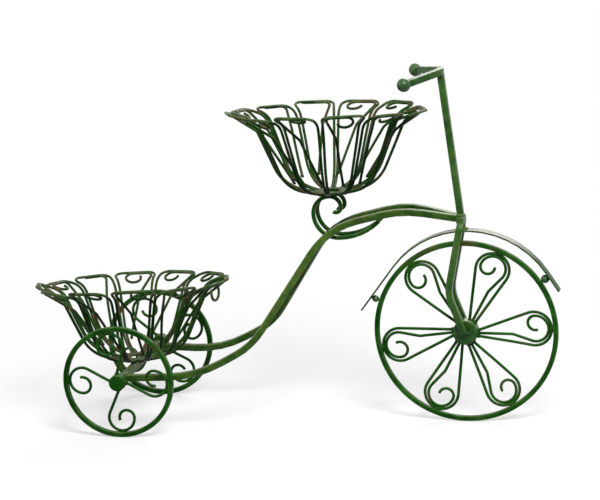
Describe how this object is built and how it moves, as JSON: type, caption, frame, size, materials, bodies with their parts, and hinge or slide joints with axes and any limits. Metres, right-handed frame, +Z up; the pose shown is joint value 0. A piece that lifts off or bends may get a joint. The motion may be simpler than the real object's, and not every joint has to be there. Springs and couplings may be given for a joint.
{
  "type": "tricycle plant stand",
  "caption": "Free-standing wrought-iron plant stand shaped like a tricycle, with petal-wire baskets for pots over the frame and over the rear axle, and rear wheels that spin.",
  "frame": {"origin": "middle of the bounding box at floor level, under the frame", "axes": "+X towards the front wheel, +Y to the tricycle's left, +Z up"},
  "size_m": [0.6354, 0.2328, 0.4261],
  "materials": {
    "frame_paint": "satin, worn",
    "wheel_paint": "satin, worn",
    "basket_wire_paint": "satin, rust at the tips"
  },
  "bodies": {
    "frame": {"basket_bracket_left": "frame_paint", "basket_bracket_right": "frame_paint", "fender_spacer_front": "frame_paint", "fender_spacer_rear": "frame_paint", "fork_leg_left": "frame_paint", "fork_leg_right": "frame_paint", "frame_rail_left": "frame_paint", "frame_rail_right": "frame_paint", "front_basket_base_ring": "basket_wire_paint", "front_basket_petal_01": "basket_wire_paint", "front_basket_petal_02": "basket_wire_paint", "front_basket_petal_03": "basket_wire_paint", "front_basket_petal_04": "basket_wire_paint", "front_basket_petal_05": "basket_wire_paint", "front_basket_petal_06": "basket_wire_paint", "front_basket_petal_07": "basket_wire_paint", "front_basket_petal_08": "basket_wire_paint", "front_basket_petal_09": "basket_wire_paint", "front_basket_petal_10": "basket_wire_paint", "front_basket_petal_11": "basket_wire_paint", "front_basket_petal_12": "basket_wire_paint", "front_fender": "frame_paint", "front_wheel_hub": "wheel_paint", "front_wheel_petal_1": "wheel_paint", "front_wheel_petal_2": "wheel_paint", "front_wheel_petal_3": "wheel_paint", "front_wheel_petal_4": "wheel_paint", "front_wheel_petal_5": "wheel_paint", "front_wheel_petal_6": "wheel_paint", "front_wheel_rim": "wheel_paint", "handlebar": "frame_paint", "handlebar_ball_left": "frame_paint", "handlebar_ball_right": "frame_paint", "handlebar_stem": "frame_paint", "rear_axle": "frame_paint", "rear_basket_base_ring": "basket_wire_paint", "rear_basket_petal_01": "basket_wire_paint", "rear_basket_petal_02": "basket_wire_paint", "rear_basket_petal_03": "basket_wire_paint", "rear_basket_petal_04": "basket_wire_paint", "rear_basket_petal_05": "basket_wire_paint", "rear_basket_petal_06": "basket_wire_paint", "rear_basket_petal_07": "basket_wire_paint", "rear_basket_petal_08": "basket_wire_paint", "rear_basket_petal_09": "basket_wire_paint", "rear_basket_petal_10": "basket_wire_paint", "rear_basket_petal_11": "basket_wire_paint", "rear_basket_petal_12": "basket_wire_paint"},
    "rear_left_wheel": {"rear_left_wheel_hub": "wheel_paint", "rear_left_wheel_hub_cap": "wheel_paint", "rear_left_wheel_rim": "wheel_paint", "rear_left_wheel_spokes": "wheel_paint"},
    "rear_right_wheel": {"rear_right_wheel_hub": "wheel_paint", "rear_right_wheel_hub_cap": "wheel_paint", "rear_right_wheel_rim": "wheel_paint", "rear_right_wheel_spokes": "wheel_paint"}
  },
  "joints": [
    {"name": "rear_left_wheel_spin", "type": "hinge", "parent": "frame", "child": "rear_left_wheel", "pos_m": [-0.19934, 0.09552, 0.0676], "axis": [0, 1, 0], "continuous": true},
    {"name": "rear_right_wheel_spin", "type": "hinge", "parent": "frame", "child": "rear_right_wheel", "pos_m": [-0.19934, -0.09548, 0.0676], "axis": [0, 1, 0], "continuous": true}
  ]
}
